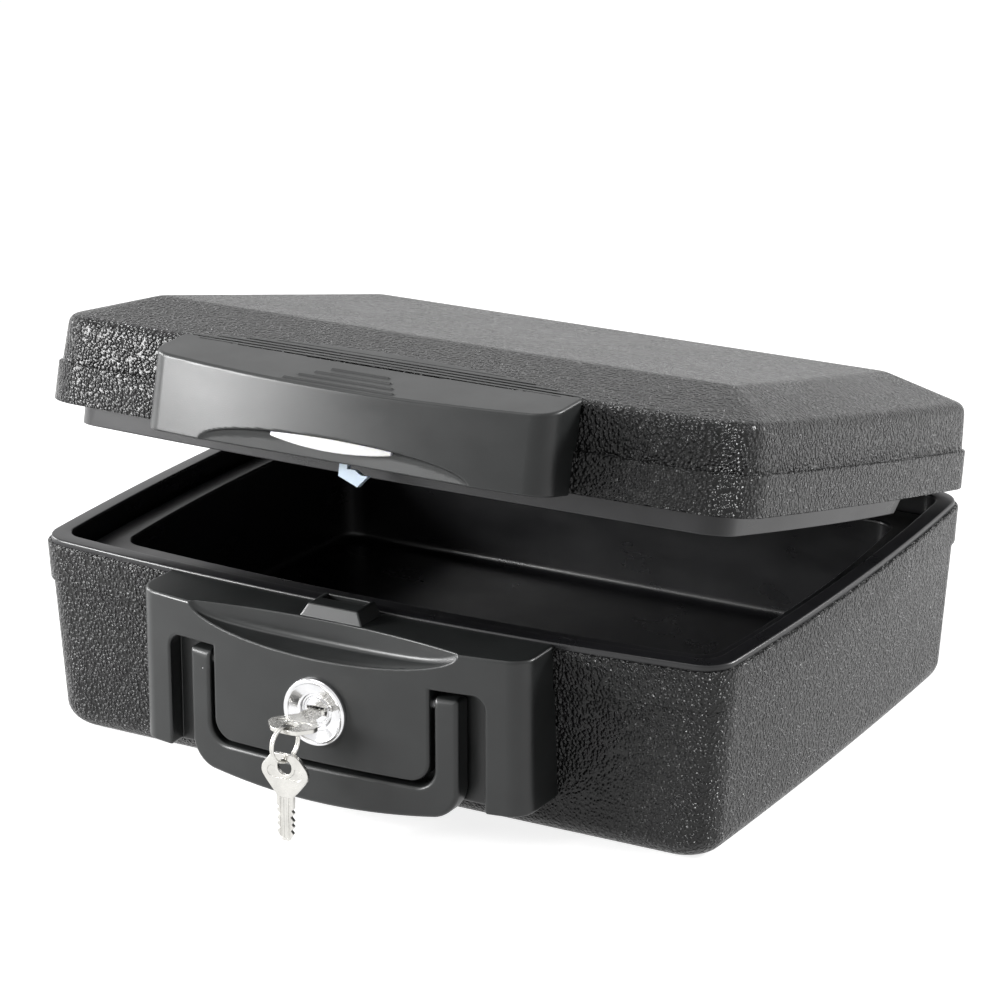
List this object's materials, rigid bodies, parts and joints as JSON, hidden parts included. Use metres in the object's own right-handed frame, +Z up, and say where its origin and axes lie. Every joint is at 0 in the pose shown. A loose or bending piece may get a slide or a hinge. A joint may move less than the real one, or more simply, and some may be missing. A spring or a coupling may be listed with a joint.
{
  "type": "fireproof safe",
  "caption": "Fire-resistant security chest with a rear-hinged lid, a front key lock, a swinging carry handle and an insulated well.",
  "frame": {"origin": "centre of the flat underside of the base", "axes": "+X to the viewer's right, +Y to the rear with the lock on the -Y side, +Z up"},
  "size_m": [0.364, 0.3581, 0.1981],
  "materials": {
    "shell_plastic": "pebbled moulding grain",
    "liner_plastic": "smooth satin",
    "housing_plastic": "smooth satin",
    "hook_plastic": "pale moulded",
    "tab_plastic": "smooth white moulding",
    "insulation": "cast mineral fill",
    "lock_chrome": "polished",
    "key_nickel": "nickel plated",
    "hinge_steel": "black coated",
    "steel": "zinc plated"
  },
  "bodies": {
    "base": {"base_shell": "shell_plastic", "base_insulation": "insulation", "base_liner": "liner_plastic", "lock_housing": "housing_plastic", "latch_receiver": "housing_plastic", "handle_pins": "steel", "lock_cylinder": "lock_chrome", "lock_nut": "steel", "housing_screws": "steel", "hinge_base_leaves": "hinge_steel", "hinge_pins": "steel", "hinge_screws_base": "steel"},
    "lid": {"lid_shell": "shell_plastic", "lid_insulation": "insulation", "lid_liner": "liner_plastic", "lid_cover": "housing_plastic", "pull_tab": "tab_plastic", "latch_hook": "hook_plastic", "hook_screws": "steel", "cover_screws": "steel", "hinge_lid_leaves": "hinge_steel", "hinge_screws_lid": "steel"},
    "handle": {"carry_handle": "housing_plastic"},
    "plug": {"lock_plug": "lock_chrome", "lock_cam": "steel", "cam_screw": "steel"},
    "key": {"lock_key": "key_nickel"},
    "ring": {"key_ring": "key_nickel"},
    "spare": {"spare_key": "key_nickel"}
  },
  "joints": [
    {"name": "lid_hinge", "type": "hinge", "parent": "base", "child": "lid", "pos_m": [0, 0.1446, 0.0842], "axis": [-1, 0, 0], "range_deg": [-13.2, 81.8]},
    {"name": "handle_pivot", "type": "hinge", "parent": "base", "child": "handle", "pos_m": [0, -0.16625, 0.066], "axis": [-1, 0, 0], "range_deg": [0, 22]},
    {"name": "plug_turn", "type": "hinge", "parent": "base", "child": "plug", "pos_m": [0, -0.16, 0.0545], "axis": [0, -1, 0], "range_deg": [0, 90]},
    {"name": "key_slide", "type": "slide", "parent": "plug", "child": "key", "axis": [0, -1, 0], "range_m": [0, 0.024]},
    {"name": "ring_swing", "type": "hinge", "parent": "key", "child": "ring", "pos_m": [0, -0.20048, 0.0545], "axis": [1, 0, 0], "range_deg": [-6, 2]},
    {"name": "spare_swing", "type": "hinge", "parent": "ring", "child": "spare", "pos_m": [0, -0.20048, 0.04015], "axis": [0, 1, 0], "range_deg": [-14, 14]}
  ]
}
